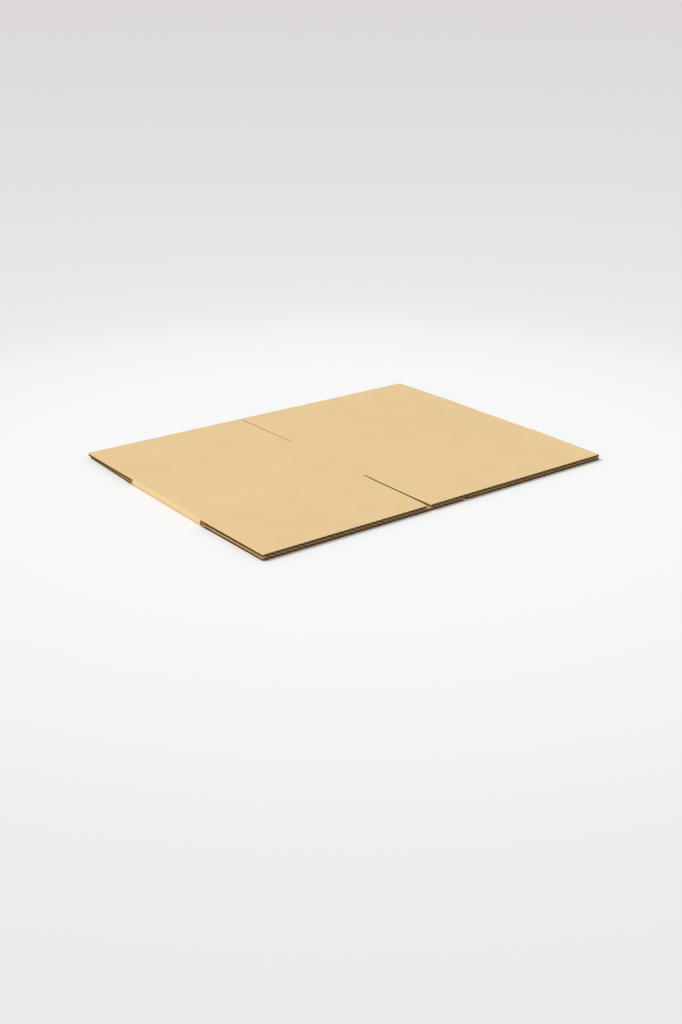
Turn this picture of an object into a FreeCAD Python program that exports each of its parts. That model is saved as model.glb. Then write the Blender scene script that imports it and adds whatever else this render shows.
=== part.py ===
"""A regular slotted carton of single-wall corrugated board, knocked down flat.

One blank of board is creased into four walls, folded flat over two opposite corners and glued
at one corner seam. Lying flat it is two layers of board: a sleeve of four walls with the four
lower flaps, and four upper flaps that turn up at their creases.
+X runs across the folds, +Y along the flutes, +Z up. The origin is the middle of the underside.
"""
import FreeCAD
import Part
import PartDesign
import Sketcher
import os

doc = FreeCAD.newDocument("FlattenedCarton")

# Driving dimensions, in millimetres
sheet = doc.addObject("Spreadsheet::Sheet", "Sizes")
SIZES = [
    # the walls and flaps of the box
    ("narrow_wall", 202.0),
    ("wide_wall", 254.0),
    ("wall_height", 143.0),
    ("flap_depth", 102.0),
    # the corrugated board
    ("board", 3.0),
    ("liner", 0.3),
    ("medium", 0.3),
    ("flute_pitch", 6.65),
    # the air under one wave, as shares of the pitch and of the height of the wave
    ("foot_share", 0.40),
    ("shoulder_share", 0.17),
    ("shoulder_rise", 0.72),
    # the slots between flaps: their narrow root, their wide mouth and their run past the creases
    ("slot_root", 1.8),
    ("slot_mouth", 7.0),
    ("slot_overrun", 3.0),
    # the creases, pressed from the inside
    ("crease_web", 1.3),
    ("crease_mouth", 5.6),
    ("crease_floor", 1.6),
    # the flat folds and the air between the two layers
    ("layer_gap", 0.9),
    ("fold_wall", 2.2),
    ("fold_bend", 0.3),
    # the glued corner seam
    ("seam_gap", 2.0),
    ("tab_width", 38.0),
    ("tab_thickness", 1.5),
    ("tab_bevel", 9.0),
    ("pressed_board", 2.2),
    ("pressed_margin", 4.0),
    ("pressed_ramp", 2.0),
]
for row, (alias, value) in enumerate(SIZES, start=1):
    sheet.set("A%d" % row, alias)
    sheet.set("B%d" % row, str(value))
    sheet.setAlias("B%d" % row, alias)
doc.recompute()

# Places that several pieces share, as formulas on the driving dimensions
HALF_WIDTH = "(Sizes.narrow_wall + Sizes.wide_wall) / 2"
CREASE_X = "(Sizes.narrow_wall - Sizes.wide_wall) / 2"
SEAM_X = "(Sizes.wide_wall - Sizes.narrow_wall) / 2"
CREASE_Y = "Sizes.wall_height / 2"
THICKNESS = "(2 * Sizes.board + Sizes.layer_gap)"
CEILING = "(Sizes.board + Sizes.layer_gap)"
MID_HEIGHT = THICKNESS + " / 2"
HALF_SLOT = "Sizes.slot_root / 2"
FLAP_TAPER = "(Sizes.slot_mouth - Sizes.slot_root) / 2"
HALF_MOUTH = "Sizes.crease_mouth / 2"
HALF_FLOOR = "Sizes.crease_floor / 2"

# A cut runs past the side it opens by one thickness of board
PAST_SIDE = "(%s + Sizes.board)" % HALF_WIDTH
PAST_END = "(%s + Sizes.board)" % CREASE_Y

# The least change in volume, in cubic millimetres, that counts as a cut or a pad
LEAST_CHANGE = 0.001


def value_of(formula):
    """The present number of a formula on the sheet."""
    return float(sheet.evalExpression(formula))


def origin_plane(body, role):
    """One of a body's own origin planes."""
    return next(f for f in body.Origin.OriginFeatures if f.Role == role)


def outline_sketch(body, name, plane, offset, outlines):
    """A sketch of closed outlines on an origin plane, every corner held by its two formulas."""
    sketch = body.newObject("Sketcher::SketchObject", name)
    sketch.AttachmentSupport = [(origin_plane(body, plane), "")]
    sketch.MapMode = "FlatFace"
    sketch.setExpression(".AttachmentOffset.Base.z", offset)
    for corners in outlines:
        points = [FreeCAD.Vector(value_of(x), value_of(y), 0) for x, y in corners]
        first = sketch.GeometryCount
        count = len(points)
        for i, start in enumerate(points):
            sketch.addGeometry(Part.LineSegment(start, points[(i + 1) % count]), False)
        for i in range(count):
            following = first + (i + 1) % count
            sketch.addConstraint(Sketcher.Constraint("Coincident", first + i, 2, following, 1))
        for i, (x, y) in enumerate(corners):
            for direction, place in (("DistanceX", x), ("DistanceY", y)):
                held = Sketcher.Constraint(direction, -1, 1, first + i, 1, value_of(place))
                sketch.setExpression("Constraints[%d]" % sketch.addConstraint(held), place)
    return sketch


def extrude(body, kind, name, sketch, length, backwards=False):
    """A pad or pocket of a sketch, proved by the change in the body's volume."""
    before = body.Shape.Volume if body.Tip else 0.0
    feature = body.newObject("PartDesign::" + kind, name)
    feature.Profile = sketch
    feature.setExpression("Length", length)
    feature.Reversed = backwards
    doc.recompute()
    change = feature.Shape.Volume - before
    if (change > 0) != (kind == "Pad") or abs(change) < LEAST_CHANGE:
        raise RuntimeError("%s moved no board: %s" % (kind, name))
    return feature


def rectangle(left, right, low, high):
    """The four corners of a rectangle, as formulas."""
    return [(left, low), (right, low), (right, high), (left, high)]


def flute_outline(centre, base, height):
    """The air under one wave of the medium: wide on its liner, narrow at the crest."""
    wave = "(Sizes.board - 2 * Sizes.liner - Sizes.medium)"
    shoulder = "%s %s Sizes.shoulder_rise * %s" % (base, height, wave)
    return [
        ("%s - Sizes.foot_share * Sizes.flute_pitch" % centre, base),
        ("%s + Sizes.foot_share * Sizes.flute_pitch" % centre, base),
        ("%s + Sizes.shoulder_share * Sizes.flute_pitch" % centre, shoulder),
        (centre, "%s %s %s" % (base, height, wave)),
        ("%s - Sizes.shoulder_share * Sizes.flute_pitch" % centre, shoulder),
    ]


# The flaps: each a fluted board hinged on a pressed crease
LAND = "Sizes.flap_depth - Sizes.crease_mouth"


def flap_board(label, width, middle, height, turned_over, right_taper):
    """One front flap, drawn from its crease line with the outer face at zero height."""
    flap = doc.addObject("PartDesign::Body", "Flap")
    flap.Label = label

    # its sides draw in towards the free end, where the slots open wide
    blank = [
        ("-%s / 2 + %s" % (width, FLAP_TAPER), "-Sizes.flap_depth"),
        ("%s / 2 - %s" % (width, right_taper), "-Sizes.flap_depth"),
        ("%s / 2" % width, "0"),
        ("-%s / 2" % width, "0"),
    ]
    sketch = outline_sketch(flap, "FlapOutline", "XY_Plane", "-Sizes.board", [blank])
    extrude(flap, "Pad", "Board", sketch, "Sizes.board")

    # this flap's half of the crease, pressed into its inner face
    groove = [
        ("-" + HALF_MOUTH, "-Sizes.board"),
        ("-" + HALF_FLOOR, "-Sizes.crease_web"),
        (HALF_FLOOR, "-Sizes.crease_web"),
        (HALF_MOUTH, "-Sizes.board"),
    ]
    sketch = outline_sketch(flap, "CreaseOutline", "YZ_Plane", "-%s / 2" % width, [groove])
    extrude(flap, "Pocket", "Crease", sketch, width, True)

    # two rows of flutes, one on each side of the wavy medium, blind before the crease
    whole = "floor((%s - 2 * %s) / Sizes.flute_pitch)" % (width, FLAP_TAPER)
    rows = [
        ("Inner", "-Sizes.board + Sizes.liner", "+", whole, whole + " + 1"),
        ("Outer", "-Sizes.liner", "-", "(%s - 1)" % whole, whole),
    ]
    for row, base, height_sign, spaces, count in rows:
        first = "-%s * Sizes.flute_pitch / 2" % spaces
        outline = flute_outline(first, base, height_sign)
        sketch = outline_sketch(flap, row + "Wave", "XZ_Plane", "Sizes.flap_depth", [outline])
        flute = extrude(flap, "Pocket", row + "Flute", sketch, LAND)
        pattern = flap.newObject("PartDesign::LinearPattern", row + "Flutes")
        pattern.Originals = [flute]
        pattern.Direction = (sketch, ["H_Axis"])
        pattern.Mode = "Spacing"
        pattern.setExpression("Offset", "Sizes.flute_pitch")
        pattern.setExpression("Occurrences", count)
        flap.Tip = pattern
        doc.recompute()
        if pattern.Shape.Volume >= flute.Shape.Volume:
            raise RuntimeError("no flutes were cut: " + label)

    flap.setExpression(".Placement.Base.x", middle)
    flap.setExpression(".Placement.Base.y", "-" + CREASE_Y)
    flap.setExpression(".Placement.Base.z", height)
    if turned_over:
        flap.Placement.Rotation = FreeCAD.Rotation(FreeCAD.Vector(0, 1, 0), 180)
    return flap


def rear_twin(label, front):
    """The rear flap that mirrors a front one over the middle of the walls."""
    twin = doc.addObject("Part::Mirroring", "Twin")
    twin.Label = label
    twin.Source = front
    twin.Normal = FreeCAD.Vector(0, 1, 0)
    return twin


def flap_between(label, left, right, height, turned_over=False, right_taper=FLAP_TAPER):
    """A flap that fills the width between two places on its crease."""
    middle = "((%s) + (%s)) / 2" % (left, right)
    width = "((%s) - (%s))" % (right, left)
    return flap_board(label, width, middle, height, turned_over, right_taper)


LEFT_SIDE = "-%s + %s" % (HALF_WIDTH, HALF_SLOT)
RIGHT_SIDE = "%s - %s" % (HALF_WIDTH, HALF_SLOT)
narrow_end = "%s - %s" % (CREASE_X, HALF_SLOT)
wide_start = "%s + %s" % (CREASE_X, HALF_SLOT)
front_narrow = flap_between("front_narrow_flap", LEFT_SIDE, narrow_end, THICKNESS)
front_wide = flap_between("front_wide_flap", wide_start, RIGHT_SIDE, THICKNESS)
rear_narrow = rear_twin("rear_narrow_flap", front_narrow)
rear_wide = rear_twin("rear_wide_flap", front_wide)

# the flaps of the lower layer lie the other way up, and meet at the glued seam, where the narrow
# one ends the blank and has a straight side
lower_end = "%s - %s" % (SEAM_X, HALF_SLOT)
lower_start = "%s + Sizes.seam_gap" % SEAM_X
lower_wide = flap_between("lower_wide_flap", LEFT_SIDE, lower_end, "0", True)
lower_narrow = flap_between("lower_narrow_flap", lower_start, RIGHT_SIDE, "0", True, "0")
lower_flaps = [
    lower_wide,
    lower_narrow,
    rear_twin("rear_lower_wide_flap", lower_wide),
    rear_twin("rear_lower_narrow_flap", lower_narrow),
]

# The four walls, folded flat and glued at the seam
walls = doc.addObject("PartDesign::Body", "Walls")
walls.Label = "folded_walls"

# both layers as one slab as high as the walls, its two sides rounded where the board turns back
slab_outline = rectangle("-" + HALF_WIDTH, HALF_WIDTH, "0", THICKNESS)
slab_sketch = outline_sketch(walls, "SlabOutline", "XZ_Plane", CREASE_Y, [slab_outline])
slab = extrude(walls, "Pad", "Slab", slab_sketch, "Sizes.wall_height", True)
fold_edges = []
for number, edge in enumerate(slab.Shape.Edges, start=1):
    box = edge.BoundBox
    if box.YLength > value_of(CREASE_Y):
        fold_edges.append("Edge%d" % number)
folds = walls.newObject("PartDesign::Fillet", "Folds")
folds.Base = (slab, fold_edges)
folds.setExpression("Radius", "Sizes.board")
doc.recompute()

# the air between the layers, with the wall crease above it and the glued tab in it
gap_end = "(%s - Sizes.fold_wall)" % HALF_WIDTH
tab_top = "Sizes.pressed_board + Sizes.tab_thickness"
tab_edge = "%s + Sizes.tab_width" % SEAM_X
pressed_end = "%s + Sizes.pressed_margin" % tab_edge
crease_roof = "%s - Sizes.crease_web" % THICKNESS
gap_outline = [
    ("-%s + Sizes.fold_bend" % gap_end, "Sizes.board"),
    ("%s - Sizes.crease_floor" % SEAM_X, "Sizes.board"),
    (SEAM_X, tab_top),
    (tab_edge, tab_top),
    (tab_edge, "Sizes.pressed_board"),
    (pressed_end, "Sizes.pressed_board"),
    ("%s + Sizes.pressed_ramp" % pressed_end, "Sizes.board"),
    ("%s - Sizes.fold_bend" % gap_end, "Sizes.board"),
    (gap_end, "Sizes.board + Sizes.fold_bend"),
    (gap_end, "%s - Sizes.fold_bend" % CEILING),
    ("%s - Sizes.fold_bend" % gap_end, CEILING),
    ("%s + %s" % (CREASE_X, HALF_MOUTH), CEILING),
    ("%s + %s" % (CREASE_X, HALF_FLOOR), crease_roof),
    ("%s - %s" % (CREASE_X, HALF_FLOOR), crease_roof),
    ("%s - %s" % (CREASE_X, HALF_MOUTH), CEILING),
    ("-%s + Sizes.fold_bend" % gap_end, CEILING),
    ("-" + gap_end, "%s - Sizes.fold_bend" % CEILING),
    ("-" + gap_end, "Sizes.board + Sizes.fold_bend"),
]
gap_sketch = outline_sketch(walls, "GapOutline", "XZ_Plane", CREASE_Y, [gap_outline])
extrude(walls, "Pocket", "LayerGap", gap_sketch, "Sizes.wall_height")

# the open seam below the tab, between the wide lower wall and the narrow one
seam_outline = rectangle(SEAM_X, SEAM_X + " + Sizes.seam_gap", "0", "Sizes.pressed_board")
seam_sketch = outline_sketch(walls, "SeamOutline", "XZ_Plane", CREASE_Y, [seam_outline])
extrude(walls, "Pocket", "Seam", seam_sketch, "Sizes.wall_height")

# the slanted ends of the tab, from the slots to its free edge
slot_end = "(%s - Sizes.slot_overrun)" % CREASE_Y
tab_ends = []
for sign in ("", "-"):
    tab_ends.append([
        (SEAM_X, "%s%s" % (sign, slot_end)),
        (tab_edge, "%s(%s - Sizes.tab_bevel)" % (sign, slot_end)),
        (tab_edge, sign + PAST_END),
        (SEAM_X, sign + PAST_END),
    ])
tab_sketch = outline_sketch(walls, "TabEnds", "XY_Plane", CEILING, tab_ends)
extrude(walls, "Pocket", "TabBevels", tab_sketch, "%s - Sizes.pressed_board" % CEILING)

# the slots run past the flap creases: through the nose of both folds, at the wall crease on top
# and at the seam below
fold_slots = []
wall_slots = []
seam_slots = []
for sign in ("", "-"):
    inner = sign + slot_end
    outer = sign + PAST_END
    fold_side = "%s - Sizes.fold_bend" % gap_end
    fold_slots.append(rectangle(fold_side, PAST_SIDE, inner, outer))
    fold_slots.append(rectangle("-(%s)" % fold_side, "-" + PAST_SIDE, inner, outer))
    wall_side = CREASE_X + " - " + HALF_SLOT
    wall_slots.append(rectangle(wall_side, CREASE_X + " + " + HALF_SLOT, inner, outer))
    seam_side = SEAM_X + " - " + HALF_SLOT
    seam_slots.append(rectangle(seam_side, SEAM_X + " + Sizes.seam_gap", inner, outer))
fold_top = MID_HEIGHT + " + " + HALF_SLOT
fold_sketch = outline_sketch(walls, "FoldSlotOutlines", "XY_Plane", fold_top, fold_slots)
extrude(walls, "Pocket", "FoldSlots", fold_sketch, "Sizes.slot_root")
wall_sketch = outline_sketch(walls, "WallSlotOutlines", "XY_Plane", THICKNESS, wall_slots)
extrude(walls, "Pocket", "WallSlots", wall_sketch, "Sizes.board")
seam_slot_sketch = outline_sketch(walls, "SeamSlotOutlines", "XY_Plane", CEILING, seam_slots)
extrude(walls, "Pocket", "SeamSlots", seam_slot_sketch, CEILING)

# the flap creases, pressed into the inner face of each layer
creases = []
for middle in (CREASE_Y, "-" + CREASE_Y):
    for inner_face, web in (("Sizes.board", "Sizes.crease_web"), (CEILING, crease_roof)):
        creases.append([
            ("%s - %s" % (middle, HALF_MOUTH), inner_face),
            ("%s - %s" % (middle, HALF_FLOOR), web),
            ("%s + %s" % (middle, HALF_FLOOR), web),
            ("%s + %s" % (middle, HALF_MOUTH), inner_face),
        ])
crease_sketch = outline_sketch(walls, "FlapCreases", "YZ_Plane", "-" + HALF_WIDTH, creases)
extrude(walls, "Pocket", "Creases", crease_sketch, "2 * " + HALF_WIDTH, True)

# The sleeve: the walls in one piece with the lower flaps, joined along the crease webs
sleeve = doc.addObject("Part::MultiFuse", "Sleeve")
sleeve.Label = "folded_sleeve"
sleeve.Shapes = [walls] + lower_flaps
pieces = [sleeve, front_narrow, front_wide, rear_narrow, rear_wide]
doc.recompute()

# Every feature has to be sound before a file is written
for feature in doc.Objects:
    if "Invalid" in feature.State or "Error" in feature.State:
        raise RuntimeError("unsound feature: " + feature.Name)
for piece in pieces:
    if piece.Shape.isNull() or not piece.Shape.isValid() or len(piece.Shape.Solids) != 1:
        raise RuntimeError("unsound piece: " + piece.Label)

os.makedirs("parts", exist_ok=True)
for piece in pieces:
    piece.Shape.exportStep("parts/" + piece.Label + ".step")
    box = piece.Shape.BoundBox
    spans = ["%.2f to %.2f" % span for span in
             ((box.XMin, box.XMax), (box.YMin, box.YMax), (box.ZMin, box.ZMax))]
    print(piece.Label, round(piece.Shape.Volume), "mm3,", ", ".join(spans))
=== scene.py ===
"""The finish of a corrugated carton that lies knocked down flat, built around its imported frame.

Sections follow the box as it is made: the folded walls, the glued tab, the fluted flaps, the
creases that the flaps turn on, and then the floor, the light and the camera.
"""
import math
import random

import bmesh
import bpy
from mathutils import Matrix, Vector, noise


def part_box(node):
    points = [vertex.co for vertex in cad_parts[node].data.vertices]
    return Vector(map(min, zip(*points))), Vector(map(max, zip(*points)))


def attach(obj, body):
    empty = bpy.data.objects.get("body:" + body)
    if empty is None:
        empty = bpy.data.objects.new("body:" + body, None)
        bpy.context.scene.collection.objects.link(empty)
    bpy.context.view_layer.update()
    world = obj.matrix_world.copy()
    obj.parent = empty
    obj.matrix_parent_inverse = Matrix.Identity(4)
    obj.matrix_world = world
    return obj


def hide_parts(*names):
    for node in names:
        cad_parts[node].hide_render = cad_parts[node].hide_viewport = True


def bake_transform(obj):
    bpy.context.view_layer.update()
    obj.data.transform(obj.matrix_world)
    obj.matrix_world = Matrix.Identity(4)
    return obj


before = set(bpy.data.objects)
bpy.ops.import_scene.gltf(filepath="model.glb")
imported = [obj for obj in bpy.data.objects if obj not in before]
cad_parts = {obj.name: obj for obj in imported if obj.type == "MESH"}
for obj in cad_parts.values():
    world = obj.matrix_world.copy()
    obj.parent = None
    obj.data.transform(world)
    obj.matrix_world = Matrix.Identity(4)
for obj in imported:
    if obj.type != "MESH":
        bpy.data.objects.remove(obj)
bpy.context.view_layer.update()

# The folded walls
# Four walls of one kraft board, folded flat over two corners into a sleeve two boards thick. Both
# faces are unbleached liner, a plain tan paper of long pressed fibres. The folds turn back tightly,
# and the walls' cut ends show in the slots and beside the folds.
MM = 0.001
walls_low, walls_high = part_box("folded_sleeve")
narrow_low, narrow_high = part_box("front_narrow_flap")
wide_low, wide_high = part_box("front_wide_flap")
THICKNESS = walls_high.z
BOARD = narrow_high.z - narrow_low.z
CEILING = THICKNESS - BOARD
CREASE_Y = -narrow_high.y
SLOT_OVERRUN = 3.0 * MM
WALL_END = CREASE_Y - SLOT_OVERRUN
WALL_STEPS = 40
FOLD_WALL = 2.2 * MM
FOLD_ROUNDING = 0.93 * BOARD
FOLD_STEPS = 9
FOLD_INSIDE = 2.0 * MM
WAIST_DEPTH = 0.22 * MM
WAIST_HALF_HEIGHT = 0.5 * MM
FOLD_DRAW = 0.16 * MM
FOLD_SWAY = 0.2 * MM
SWAYS_PER_METRE = Vector((9, 28, 130))
SEAM_GAP = 2.0 * MM
SEAM_ROOF = 2.2 * MM
SEAM_X = -(narrow_high.x + wide_low.x) / 2
HAIR = 0.1 * MM
SLACK = 0.01 * MM
SHARP_ANGLE = 35
FLUTE_PITCH = 6.65 * MM
OUTER_KRAFT = (0.814, 0.590, 0.304, 1)
INNER_KRAFT = (0.735, 0.510, 0.250, 1)
CUT_BROWN = (0.330, 0.190, 0.080, 1)
FLECK_BROWN = (0.30, 0.17, 0.075, 1)


def place_node(tree, kind, settings=None, inputs=None):
    """A node with its settings, and values or links for its inputs."""
    node = tree.nodes.new(kind)
    for name, value in (settings or {}).items():
        setattr(node, name, value)
    for name, value in (inputs or {}).items():
        if isinstance(value, bpy.types.NodeSocket):
            tree.links.new(value, node.inputs[name])
        else:
            node.inputs[name].default_value = value
    return node


def reckon(tree, operation, first, second=None, third=None):
    """A maths node; each term is a number or another node's output."""
    terms = {i: t for i, t in enumerate((first, second, third)) if t is not None}
    return place_node(tree, "ShaderNodeMath", {"operation": operation}, terms).outputs[0]


def paper_group():
    """Pressed paper: cloudy formation, long fibres, small dark flecks and the flutes' ribbing."""
    group = bpy.data.node_groups.new("pressed_paper", "ShaderNodeTree")
    face = group.interface
    face.new_socket("Tone", in_out="INPUT", socket_type="NodeSocketColor")
    for name in ("Grain", "Flecks", "Ribbing"):
        face.new_socket(name, in_out="INPUT", socket_type="NodeSocketFloat").default_value = 1.0
    face.new_socket("Color", in_out="OUTPUT", socket_type="NodeSocketColor")
    face.new_socket("Roughness", in_out="OUTPUT", socket_type="NodeSocketFloat")
    face.new_socket("Height", in_out="OUTPUT", socket_type="NodeSocketFloat")
    given = group.nodes.new("NodeGroupInput").outputs
    where = group.nodes.new("ShaderNodeTexCoord").outputs["Object"]

    def grain(per_metre, stretch, detail):
        """Noise with so many features to a metre, stretched along the grain of the paper."""
        along = place_node(group, "ShaderNodeMapping", {}, {"Vector": where, "Scale": stretch})
        return place_node(group, "ShaderNodeTexNoise", {}, {
            "Vector": along.outputs[0], "Scale": per_metre, "Detail": detail, "Roughness": 0.6,
        }).outputs["Fac"]

    def swing(wave, share):
        """A wave of noise about none, at a share of its strength."""
        return reckon(group, "MULTIPLY", reckon(group, "SUBTRACT", wave, 0.5), share)

    cloud = grain(per_metre=26.0, stretch=(1, 1, 1), detail=3.0)
    mottle = grain(per_metre=420.0, stretch=(0.7, 1, 1), detail=4.0)
    fibres = grain(per_metre=2300.0, stretch=(0.16, 1, 1), detail=3.0)
    crossed = grain(per_metre=1700.0, stretch=(1, 0.3, 1), detail=3.0)
    specks = grain(per_metre=900.0, stretch=(0.5, 1, 1), detail=2.0)
    across = place_node(group, "ShaderNodeSeparateXYZ", {}, {0: where}).outputs["X"]
    rib = reckon(group, "COSINE", reckon(group, "MULTIPLY", across, 2 * math.pi / FLUTE_PITCH))
    ribbed = reckon(group, "MULTIPLY", rib, given["Ribbing"])

    # the shades are added around one, and scale the tone of the paper
    shade = reckon(group, "ADD", swing(cloud, 0.10), 1.0)
    for wave, share in ((mottle, 0.10), (fibres, 0.16), (crossed, 0.09)):
        shade = reckon(group, "MULTIPLY_ADD", swing(wave, share), given["Grain"], shade)
    shade = reckon(group, "MULTIPLY_ADD", ribbed, 0.005, shade)
    shaded = place_node(group, "ShaderNodeVectorMath", {"operation": "SCALE"}, {
        0: given["Tone"], "Scale": shade,
    }).outputs[0]
    flecked = place_node(group, "ShaderNodeMapRange", {"clamp": True}, {
        "Value": specks, "From Min": 0.66, "From Max": 0.74, "To Min": 0.0, "To Max": 0.30,
    }).outputs[0]
    colour = place_node(group, "ShaderNodeMix", {"data_type": "RGBA"}, {
        0: reckon(group, "MULTIPLY", flecked, given["Flecks"]), 6: shaded, 7: FLECK_BROWN,
    }).outputs[2]

    pressed = reckon(group, "ADD", swing(fibres, 0.05), swing(mottle, 0.05))
    height = reckon(group, "MULTIPLY", pressed, given["Grain"])
    height = reckon(group, "MULTIPLY_ADD", ribbed, 0.012, height)
    roughness = reckon(group, "ADD", swing(mottle, 0.25), 0.78)
    result = group.nodes.new("NodeGroupOutput").inputs
    group.links.new(colour, result["Color"])
    group.links.new(roughness, result["Roughness"])
    group.links.new(height, result["Height"])
    return group


def paper_material(name, tone, grain, flecks, ribbing, bump):
    """A dull paper finish of one tone."""
    material = bpy.data.materials.new(name)
    material.use_nodes = True
    tree = material.node_tree
    shader = tree.nodes["Principled BSDF"]
    shader.inputs["Specular IOR Level"].default_value = 0.28
    paper = place_node(tree, "ShaderNodeGroup", {"node_tree": pressed_paper}, {
        "Tone": tone, "Grain": grain, "Flecks": flecks, "Ribbing": ribbing,
    })
    relief = place_node(tree, "ShaderNodeBump", {}, {
        "Height": paper.outputs["Height"], "Distance": MM, "Strength": bump,
    })
    tree.links.new(paper.outputs["Color"], shader.inputs["Base Color"])
    tree.links.new(paper.outputs["Roughness"], shader.inputs["Roughness"])
    tree.links.new(relief.outputs[0], shader.inputs["Normal"])
    return material


pressed_paper = paper_group()
outer_paper = paper_material(
    "outer_liner_kraft", OUTER_KRAFT, grain=1.0, flecks=0.8, ribbing=1.0, bump=0.8)
inner_paper = paper_material(
    "inner_liner_kraft", INNER_KRAFT, grain=1.2, flecks=1.0, ribbing=2.0, bump=1.0)
cut_paper = paper_material(
    "cut_paper_edge", CUT_BROWN, grain=2.6, flecks=0.6, ribbing=0.0, bump=1.0)
WALL_PAPERS = [outer_paper, inner_paper, cut_paper]
OUTER, INNER, CUT = range(3)


def box_blank(low, high):
    """A plain block of board between two corners."""
    bm = bmesh.new()
    bmesh.ops.create_cube(bm, size=1.0)
    bmesh.ops.scale(bm, vec=high - low, verts=bm.verts)
    bmesh.ops.translate(bm, vec=(low + high) / 2, verts=bm.verts)
    return bm


def score_plane(bm, place, normal):
    """A cut line all round the block, where a plane crosses it."""
    everything = bm.verts[:] + bm.edges[:] + bm.faces[:]
    bmesh.ops.bisect_plane(bm, geom=everything, plane_co=place, plane_no=normal, dist=1e-7)


def open_channel(bm, x0, x1, z0, z1):
    """Open a channel through the walls from one end to the other, within the scored lines."""

    def inside(face):
        """Whether a face lies over the channel's mouth."""
        middle = face.calc_center_median()
        return x0 - SLACK < middle.x < x1 + SLACK and z0 - SLACK < middle.z < z1 + SLACK

    gone = [f for f in bm.faces if inside(f)]
    rims = set()
    for face in gone:
        for edge in face.edges:
            kept = [f for f in edge.link_faces if f not in gone]
            first, second = edge.verts
            if kept and abs(first.co.y - second.co.y) < SLACK:
                rims.add(edge)
    bmesh.ops.delete(bm, geom=gone, context="FACES")
    bmesh.ops.bridge_loops(bm, edges=[e for e in rims if e.is_valid])


def finish_piece(name, bm, papers, sharp_angle=SHARP_ANGLE):
    """Merge, turn outwards and shade a mesh, and link it as a piece of the scene."""
    bmesh.ops.remove_doubles(bm, verts=bm.verts, dist=1e-7)
    bmesh.ops.recalc_face_normals(bm, faces=bm.faces)
    mesh = bpy.data.meshes.new(name)
    bm.to_mesh(mesh)
    bm.free()
    mesh.shade_smooth()
    mesh.set_sharp_from_angle(angle=math.radians(sharp_angle))
    for material in papers:
        mesh.materials.append(material)
    piece = bpy.data.objects.new(name, mesh)
    bpy.context.scene.collection.objects.link(piece)
    return piece


walls_bm = box_blank(
    Vector((walls_low.x, -WALL_END, 0)),
    Vector((walls_high.x, WALL_END, THICKNESS)),
)
long_edges = [e for e in walls_bm.edges if abs(e.verts[0].co.y - e.verts[1].co.y) > WALL_END]
bmesh.ops.bevel(walls_bm, geom=long_edges, offset=FOLD_ROUNDING, offset_type="OFFSET",
                segments=FOLD_STEPS, profile=0.5, affect="EDGES", material=-1)
gap_end = walls_high.x - FOLD_WALL
for x in (-gap_end, gap_end, SEAM_X, SEAM_X + SEAM_GAP):
    score_plane(walls_bm, (x, 0, 0), (1, 0, 0))
for z in (SEAM_ROOF, BOARD, CEILING):
    score_plane(walls_bm, (0, 0, z), (0, 0, 1))
open_channel(walls_bm, -gap_end, gap_end, BOARD, CEILING)
open_channel(walls_bm, SEAM_X, SEAM_X + SEAM_GAP, 0, SEAM_ROOF)
for step in range(1, WALL_STEPS):
    score_plane(walls_bm, (0, -WALL_END + step * 2 * WALL_END / WALL_STEPS, 0), (0, 1, 0))
for face in walls_bm.faces:
    middle = face.calc_center_median()
    at_cut_end = abs(abs(middle.y) - WALL_END) < SLACK
    off_seam = abs(middle.x - SEAM_X - SEAM_GAP / 2)
    in_seam = off_seam < SEAM_GAP / 2 + HAIR / 2 and HAIR < middle.z < SEAM_ROOF
    between_walls = BOARD - HAIR < middle.z < CEILING + HAIR
    if at_cut_end or in_seam:
        face.material_index = CUT
    elif between_walls and abs(middle.x) < walls_high.x - FOLD_INSIDE:
        face.material_index = INNER
    else:
        face.material_index = OUTER

# the folds are pressed flat: a shallow waist at half height, never quite even
for vert in walls_bm.verts:
    into_fold = abs(vert.co.x) - (walls_high.x - BOARD)
    if into_fold > 0:
        share = min(1.0, into_fold / BOARD)
        waist = math.exp(-((vert.co.z - THICKNESS / 2) / WAIST_HALF_HEIGHT) ** 2)
        sway = noise.noise(vert.co * SWAYS_PER_METRE)
        inward = share * (WAIST_DEPTH * waist + FOLD_DRAW + FOLD_SWAY * sway)
        vert.co.x -= math.copysign(inward, vert.co.x)
walls = finish_piece("folded_walls", walls_bm, WALL_PAPERS)
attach(walls, "sleeve")
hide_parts("folded_sleeve")

# The glued tab
# The tab carries on from the wide lower wall over its crease, is pressed thin and glued inside
# the narrow lower wall. Its ends are cut on a slant so that they stay clear of the flaps.
TAB_WIDTH = 38.0 * MM
TAB_BEVEL = 9.0 * MM
TAB_TOP = 3.7 * MM
TAB_SINK = 0.2 * MM
TAB_END_GAP = 0.2 * MM
TAB_ROUNDING = 0.4 * MM
tab_end = WALL_END - TAB_END_GAP
tab_bm = box_blank(
    Vector((SEAM_X, -tab_end, SEAM_ROOF - TAB_SINK)),
    Vector((SEAM_X + TAB_WIDTH, tab_end, TAB_TOP)),
)
for vert in tab_bm.verts:
    if vert.co.x > SEAM_X + TAB_WIDTH / 2:
        vert.co.y -= math.copysign(TAB_BEVEL, vert.co.y)
tab_rims = [e for e in tab_bm.edges if min(v.co.z for v in e.verts) > BOARD]
bmesh.ops.bevel(tab_bm, geom=tab_rims, offset=TAB_ROUNDING, offset_type="OFFSET", segments=3,
                profile=0.5, affect="EDGES", material=-1)
for face in tab_bm.faces:
    face.material_index = INNER if abs(face.normal.z) > 0.5 else CUT
tab = finish_piece("glued_tab", tab_bm, WALL_PAPERS)
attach(tab, "sleeve")

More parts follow.
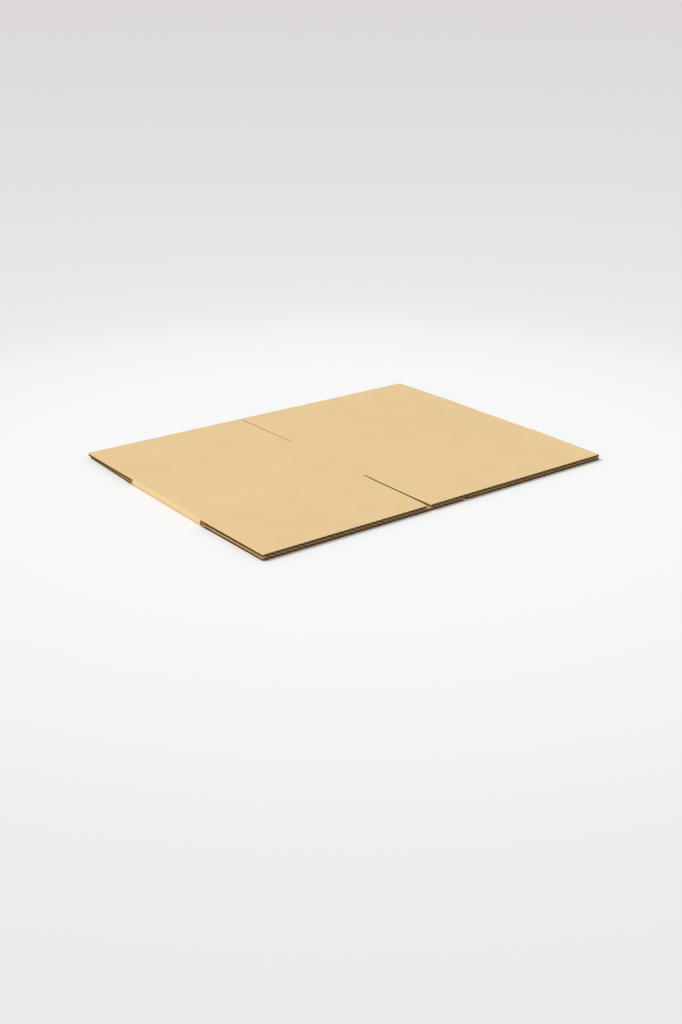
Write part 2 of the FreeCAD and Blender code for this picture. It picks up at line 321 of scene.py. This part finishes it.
# The flaps
# Each flap is board with both liners and the wavy medium between them. Its far end is cut across
# the flutes and shows them open; the medium and the liners' faces inside the board are painted
# near-black brown as painted shade in the flute channels, and only the medium's cut end keeps its
# own pale colour. Its sides are cut by the slotting blades, which pinch the liners together.
SLOT_ROOT = wide_low.x - narrow_high.x
SLOT_MOUTH = 7.0 * MM
FLAP_TAPER = (SLOT_MOUTH - SLOT_ROOT) / 2
FRONT_SLOT_X = -24.4 * MM
FRONT_SLOT = 1.9 * MM
REAR_SLOT_X = -24.0 * MM
REAR_SLOT = 0.8 * MM
FLAP_START = CREASE_Y + SLOT_OVERRUN
FLAP_END = -narrow_low.y
UPPER_BOW = -0.2 * MM
LOWER_BOW = 0.08 * MM
BOWS_PER_METRE = 7
LINER = 0.28 * MM
LINER_STEPS = 4
LINER_ROWS = 14
FRAY = 0.10 * MM
FRAYS_PER_METRE = 1400
FRAY_SET_BACK = 0.6
MEDIUM = 0.28 * MM
MEDIUM_STEPS = 14
MEDIUM_ROWS = 10
WAVE_FULLNESS = 0.22
SLOT_WALL_SHADE_REACH = 3.4 * MM
BLADE_PINCH = 0.32 * MM
BLADE_REACH = 2.4 * MM
BLADE_START = 14.0 * MM
TRIM_PINCH = 0.10 * MM
TRIM_REACH = 3.0 * MM
FLARE_POWER = 6
CRUSH_REACH = 14.0 * MM
CRUSH_FLAT = 0.05
CRUSH_SKEW = 0.22 * MM
CRUSH_SET_BACK = 0.12 * MM
LEVEL_SHARE = 0.4
END_SHARE = 0.6
# painted shade: a near-black brown for the shadowed flute channels, not the medium's own pale
# colour
FLUTE_SHADOW_BROWN = (0.170, 0.092, 0.034, 1)
WAVE_EDGE = (0.640, 0.450, 0.240, 1)
flute_shadow_paper = paper_material(
    "painted_flute_shadow", FLUTE_SHADOW_BROWN, grain=1.6, flecks=0.6, ribbing=0.0, bump=1.0)
wave_paper = paper_material(
    "cut_fluting_edge", WAVE_EDGE, grain=2.0, flecks=0.4, ribbing=0.0, bump=1.0)
FLAP_PAPERS = WALL_PAPERS + [flute_shadow_paper, wave_paper]
SHADOW_IN_FLUTES = FLAP_PAPERS.index(flute_shadow_paper)
WAVE = FLAP_PAPERS.index(wave_paper)
random.seed(11)


def sheet_grid(bm, x0, x1, side, columns, rows):
    """A level sheet from the crease to the flap's cut end, on the front or rear side."""
    made = bmesh.ops.create_grid(bm, x_segments=columns, y_segments=rows, size=0.5)["verts"]
    middle_y = side * (FLAP_START + FLAP_END) / 2
    bmesh.ops.scale(bm, vec=(x1 - x0, FLAP_END - FLAP_START, 1), verts=made)
    bmesh.ops.translate(bm, vec=((x0 + x1) / 2, middle_y, 0), verts=made)
    return made


def thicken(bm, verts, depth):
    """Give a sheet its thickness downwards."""
    faces = {f for v in verts for f in v.link_faces}
    made = bmesh.ops.extrude_face_region(bm, geom=list(faces))["geom"]
    lower = [g for g in made if isinstance(g, bmesh.types.BMVert)]
    bmesh.ops.translate(bm, vec=(0, 0, -depth), verts=lower)
    return lower


def flap_piece(name, outline, outer_z, inner_z, bow):
    """One flap: outer liner, medium and inner liner in one mesh, the outer face at outer_z.

    The cut end stands above its level by the bow, or below it by a negative one.
    """
    bm = bmesh.new()
    side, (x0, left_taper, left_flare), (x1, right_taper, right_flare), lean = outline
    facing = 1 if outer_z > inner_z else -1
    flutes = (x1 - x0) / FLUTE_PITCH
    kinks = [(random.uniform(-1, 1), random.uniform(-1, 1)) for _ in range(round(flutes) + 3)]

    def reach(y):
        """How far along the flap a place is, from none at the crease to one at the cut end."""
        return (abs(y) - CREASE_Y) / (FLAP_END - CREASE_Y)

    def lift(x, y):
        """How far the flap stands above its level; side and height pick a stretch of noise."""
        sway = noise.noise(Vector((x * BOWS_PER_METRE, side * 3.1, outer_z * 900)))
        return reach(y) ** 2 * bow * (1 + 0.5 * sway)

    def sides_at(y):
        """Where the two sides of the flap are, at one place along it."""
        out = reach(y)
        mouth = out ** FLARE_POWER
        left_side = x0 + left_taper * out + left_flare * mouth
        right_side = x1 - right_taper * out - right_flare * mouth
        return left_side, right_side

    def pinch(x, y):
        """How far each liner is pressed in by the blades at the sides and at the cut end."""
        left_side, right_side = sides_at(y)
        edge = max(0.0, min(x - left_side, right_side - x))
        eased = min(1.0, max(0.0, (abs(y) - FLAP_START) / BLADE_START))
        sides = max(0.0, 1 - edge / BLADE_REACH) ** 2 * BLADE_PINCH * eased
        end = max(0.0, 1 - (FLAP_END - abs(y)) / TRIM_REACH) ** 2 * TRIM_PINCH
        return sides + end

    # the liners, frayed a little at the cut end
    for face_z, into, index in ((outer_z, -facing, OUTER), (inner_z, facing, INNER)):
        top = face_z if into < 0 else face_z + LINER
        before = set(bm.faces)
        verts = sheet_grid(bm, x0, x1, side, round(flutes * LINER_STEPS), LINER_ROWS)
        lower = thicken(bm, verts, LINER)
        for vert in verts + lower:
            y = vert.co.y
            left_side, right_side = sides_at(y)
            x = left_side + (vert.co.x - x0) / (x1 - x0) * (right_side - left_side)
            if abs(y) > FLAP_END - HAIR:
                fray = noise.noise(Vector((x * FRAYS_PER_METRE, side * 2, face_z * 5000)))
                vert.co.y += side * FRAY * (fray - FRAY_SET_BACK)
            vert.co.z += top + lift(x, y) + into * pinch(x, y)
            vert.co.x = x + lean * reach(y)
        made = list(set(bm.faces) - before)
        bmesh.ops.recalc_face_normals(bm, faces=made)
        # liner faces that look into the board take the painted shade of the flute channels
        for face in made:
            if abs(face.normal.z) < LEVEL_SHARE:
                face.material_index = CUT
            else:
                face.material_index = SHADOW_IN_FLUTES if face.normal.z * into > 0 else index

    # the medium, with its waves crushed a little out of true at the cut end
    middle_z = (outer_z + inner_z) / 2
    half_gap = abs(outer_z - inner_z) / 2 - LINER - MEDIUM / 2
    before = set(bm.faces)
    verts = sheet_grid(bm, x0, x1, side, round(flutes * MEDIUM_STEPS), MEDIUM_ROWS)
    lower = thicken(bm, verts, MEDIUM)
    for vert in verts + lower:
        y = vert.co.y
        left_side, right_side = sides_at(y)
        x = min(right_side, max(left_side, vert.co.x))
        skew, flat = kinks[int((x - x0) / FLUTE_PITCH) + 1]
        near_end = max(0.0, 1 - (FLAP_END - abs(y)) / CRUSH_REACH) ** 2
        angle = 2 * math.pi * x / FLUTE_PITCH
        slope = math.sin(angle)
        wave = math.cos(angle)
        wave *= 1 + WAVE_FULLNESS * slope * slope
        crest = (half_gap - pinch(x, y)) * (1 - CRUSH_FLAT * near_end * (1 + flat))
        half_thick = MEDIUM * math.sqrt(1 + slope * slope) / 2
        face_side = -1 if vert.co.z < -MEDIUM / 2 else 1
        vert.co.z = middle_z + lift(x, y) + crest * wave + face_side * half_thick
        x += CRUSH_SKEW * near_end * skew * (1 - slope * slope)
        vert.co.x = min(right_side, max(left_side, x)) + lean * reach(y)
        if abs(y) > FLAP_END - HAIR:
            vert.co.y -= side * CRUSH_SET_BACK * (1 + flat)
    made = list(set(bm.faces) - before)
    bmesh.ops.recalc_face_normals(bm, faces=made)
    for face in made:
        middle = face.calc_center_median()
        left_side, right_side = sides_at(middle.y)
        beside = min(middle.x - left_side, right_side - middle.x) - abs(lean)
        # the cut end keeps the medium's pale colour; faces near the sides take cut-edge brown,
        # partly the real cut sides and partly painted shade of the slot walls; the rest takes the
        # painted shade of the flute channels
        if abs(face.normal.y) > END_SHARE:
            face.material_index = WAVE
        else:
            face.material_index = CUT if beside < SLOT_WALL_SHADE_REACH else SHADOW_IN_FLUTES
    return finish_piece(name, bm, FLAP_PAPERS)


# each flap: its side of the box, -1 at the front and 1 at the rear; its left and its right side,
# each as its place at the crease, how far it draws in evenly by the cut end and how far it flares
# there; and how far the cut end lies over; both upper slots are narrow cuts
outer_left = (narrow_low.x, FLAP_TAPER, 0)
outer_right = (wide_high.x, FLAP_TAPER, 0)
lower_slot_left = (SEAM_X - SLOT_ROOT / 2, FLAP_TAPER, 0)
lower_slot_right = (SEAM_X + SEAM_GAP, 0, 0)
FLAPS = {
    "front_narrow": (
        -1, outer_left, (FRONT_SLOT_X - FRONT_SLOT / 2, 0, 1.3 * MM), -0.2 * MM),
    "front_wide": (
        -1, (FRONT_SLOT_X + FRONT_SLOT / 2, 0, 1.5 * MM), outer_right, 0.1 * MM),
    "rear_narrow": (
        1, (narrow_low.x, 0.4 * MM, 0), (REAR_SLOT_X - REAR_SLOT / 2, 0.2 * MM, 0), 0),
    "rear_wide": (
        1, (REAR_SLOT_X + REAR_SLOT / 2, 0.3 * MM, 0), outer_right, -0.2 * MM),
    "front_lower_wide": (-1, outer_left, lower_slot_left, -0.4 * MM),
    "front_lower_narrow": (-1, lower_slot_right, outer_right, 0.3 * MM),
    "rear_lower_wide": (1, outer_left, lower_slot_left, 0.5 * MM),
    "rear_lower_narrow": (1, lower_slot_right, outer_right, -0.2 * MM),
}
for flap_name, outline in FLAPS.items():
    if "lower" in flap_name:
        flap = flap_piece(flap_name + "_board", outline, 0, BOARD, LOWER_BOW)
        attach(flap, "sleeve")
    else:
        flap = flap_piece(flap_name + "_board", outline, THICKNESS, CEILING, UPPER_BOW)
        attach(flap, flap_name)
        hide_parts(flap_name + "_flap")

# The creases
# A crease is a line where the board is crushed from inside to a thin web, so that it bends there
# and nowhere else. The outer face stays smooth over it.
CREASE_WEB = 1.3 * MM
CREASE_FLOOR = 0.8 * MM
CREASE_MOUTH = 2.8 * MM
CREASE_STEPS = 2
CREASE_ROWS = 16
CREASE_SHARP_ANGLE = 50
SQUARE_SHARE = 0.9


def crease_piece(name, outline, outer_z, into):
    """The strip of board along one crease, from the end of the wall to the start of the flap."""
    bm = bmesh.new()
    side, (x0, left_taper, _), (x1, right_taper, _), lean = outline
    columns = round((x1 - x0) / FLUTE_PITCH * CREASE_STEPS)
    verts = bmesh.ops.create_grid(
        bm, x_segments=columns, y_segments=CREASE_ROWS, size=0.5)["verts"]
    bmesh.ops.scale(bm, vec=(x1 - x0, 2 * SLOT_OVERRUN, 1), verts=verts)
    bmesh.ops.translate(bm, vec=((x0 + x1) / 2, side * CREASE_Y, outer_z), verts=verts)
    made = bmesh.ops.extrude_face_region(bm, geom=bm.faces[:])["geom"]
    inner = [g for g in made if isinstance(g, bmesh.types.BMVert)]
    for vert in inner:
        off = abs(abs(vert.co.y) - CREASE_Y)
        share = min(1.0, max(0.0, (off - CREASE_FLOOR) / (CREASE_MOUTH - CREASE_FLOOR)))
        eased = share * share * (3 - 2 * share)
        vert.co.z += into * (CREASE_WEB + (BOARD - CREASE_WEB) * eased)
    for vert in bm.verts:
        out = max(0.0, (abs(vert.co.y) - CREASE_Y) / (FLAP_END - CREASE_Y))
        across = (vert.co.x - x0) / (x1 - x0)
        vert.co.x += out * (lean + left_taper * (1 - across) - right_taper * across)
    bmesh.ops.recalc_face_normals(bm, faces=bm.faces)
    for face in bm.faces:
        if abs(face.normal.x) > SQUARE_SHARE:
            face.material_index = CUT
        else:
            face.material_index = OUTER if face.normal.z * into < -SQUARE_SHARE else INNER
    return finish_piece(name, bm, WALL_PAPERS, CREASE_SHARP_ANGLE)


for flap_name, outline in FLAPS.items():
    if "lower" in flap_name:
        crease = crease_piece(flap_name + "_crease_web", outline, 0, 1)
        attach(crease, "sleeve")
    else:
        crease = crease_piece(flap_name + "_crease_web", outline, THICKNESS, -1)
        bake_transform(crease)

# The floor
# A wide plain sheet of white studio paper. Its colour carries a painted pool of light: brightest
# around the box and falling off evenly into the distance, where it meets a background of the same
# pale grey.
FLOOR_REACH = 60.0
FLOOR_SIDES = 96
FLOOR_DROP = 0.1 * MM
NEAR_WHITE = (0.945, 0.945, 0.945, 1)
FAR_GREY = (0.715, 0.692, 0.684, 1)
PAINTED_LIGHT_GREYS = ((0.36, 0.905), (0.44, 0.820), (0.65, 0.780))
floor_bm = bmesh.new()
bmesh.ops.create_circle(floor_bm, cap_ends=True, segments=FLOOR_SIDES, radius=FLOOR_REACH)
bmesh.ops.translate(floor_bm, vec=(0, 0, -FLOOR_DROP), verts=floor_bm.verts)
floor_mesh = bpy.data.meshes.new("studio_floor")
floor_bm.to_mesh(floor_mesh)
floor_bm.free()
floor = bpy.data.objects.new("studio_floor", floor_mesh)
bpy.context.scene.collection.objects.link(floor)
floor_material = bpy.data.materials.new("floor_white_painted_light_pool")
floor_material.use_nodes = True
floor_tree = floor_material.node_tree
floor_shader = floor_tree.nodes["Principled BSDF"]
floor_shader.inputs["Roughness"].default_value = 0.9
floor_shader.inputs["Specular IOR Level"].default_value = 0.1
floor_place = floor_tree.nodes.new("ShaderNodeTexCoord").outputs["Object"]
distance = place_node(floor_tree, "ShaderNodeVectorMath", {"operation": "LENGTH"}, {
    0: floor_place,
}).outputs["Value"]

# the painted pool of light: half way along the ramp is one metre from the middle of the box, and
# its end is infinitely far
share = reckon(floor_tree, "DIVIDE", distance, reckon(floor_tree, "ADD", distance, 1.0))
ramp = place_node(floor_tree, "ShaderNodeValToRGB", {}, {"Fac": share})
painted_light_fall_off = ramp.color_ramp
painted_light_fall_off.interpolation = "B_SPLINE"
painted_light_fall_off.elements[0].position = 0.26
painted_light_fall_off.elements[0].color = NEAR_WHITE
painted_light_fall_off.elements[1].position = 0.95
painted_light_fall_off.elements[1].color = FAR_GREY
for position, grey in PAINTED_LIGHT_GREYS:
    painted_light_fall_off.elements.new(position).color = (grey, grey, grey, 1)
floor_tree.links.new(ramp.outputs["Color"], floor_shader.inputs["Base Color"])
floor_mesh.materials.append(floor_material)

# The light and the camera
# Even white light all round, with one broad soft lamp high on the left and behind, which leaves
# the front edges in their own shade. The camera stands where the photograph's did, as solved from
# the edges of the box; its lens is in pixels of the photograph's frame.
ROOM_LIGHT = 0.60
LAMP_POWER = 1.65
LAMP_SPREAD = 24
LAMP_AIM = (0.75, -0.50, -1.1)
PHOTO_HEIGHT = 1024
LENS_PIXELS = 1254.0
FILM_HEIGHT = 36.0
LOOK_RIGHT = 37.11
LOOK_DOWN = 22.37
CAMERA_PLACE = (-0.7965, -1.0475, 0.4777)
world = bpy.data.worlds.new("studio_light")
bpy.context.scene.world = world
world.use_nodes = True
world_tree = world.node_tree
room_light = world_tree.nodes["Background"]
room_light.inputs["Color"].default_value = (1, 1, 1, 1)
room_light.inputs["Strength"].default_value = ROOM_LIGHT
seen_grey = place_node(world_tree, "ShaderNodeBackground", {}, {"Color": FAR_GREY})
ray = world_tree.nodes.new("ShaderNodeLightPath")
seen_choice = place_node(world_tree, "ShaderNodeMixShader", {}, {
    0: ray.outputs["Is Camera Ray"], 1: room_light.outputs[0], 2: seen_grey.outputs[0],
})
world_tree.links.new(seen_choice.outputs[0], world_tree.nodes["World Output"].inputs["Surface"])
lamp_data = bpy.data.lights.new("soft_lamp", "SUN")
lamp_data.energy = LAMP_POWER
lamp_data.angle = math.radians(LAMP_SPREAD)
lamp = bpy.data.objects.new("soft_lamp", lamp_data)
bpy.context.scene.collection.objects.link(lamp)
lamp.rotation_euler = Vector(LAMP_AIM).to_track_quat("-Z", "Y").to_euler()
camera_data = bpy.data.cameras.new("photo_camera")
camera_data.sensor_width = FILM_HEIGHT
camera_data.lens = LENS_PIXELS / PHOTO_HEIGHT * FILM_HEIGHT
camera_data.clip_start = 0.01
camera = bpy.data.objects.new("photo_camera", camera_data)
bpy.context.scene.collection.objects.link(camera)
camera.location = CAMERA_PLACE
camera.rotation_euler = (math.radians(90 - LOOK_DOWN), 0, -math.radians(LOOK_RIGHT))
bpy.context.scene.camera = camera
bpy.context.scene.view_settings.view_transform = "Standard"
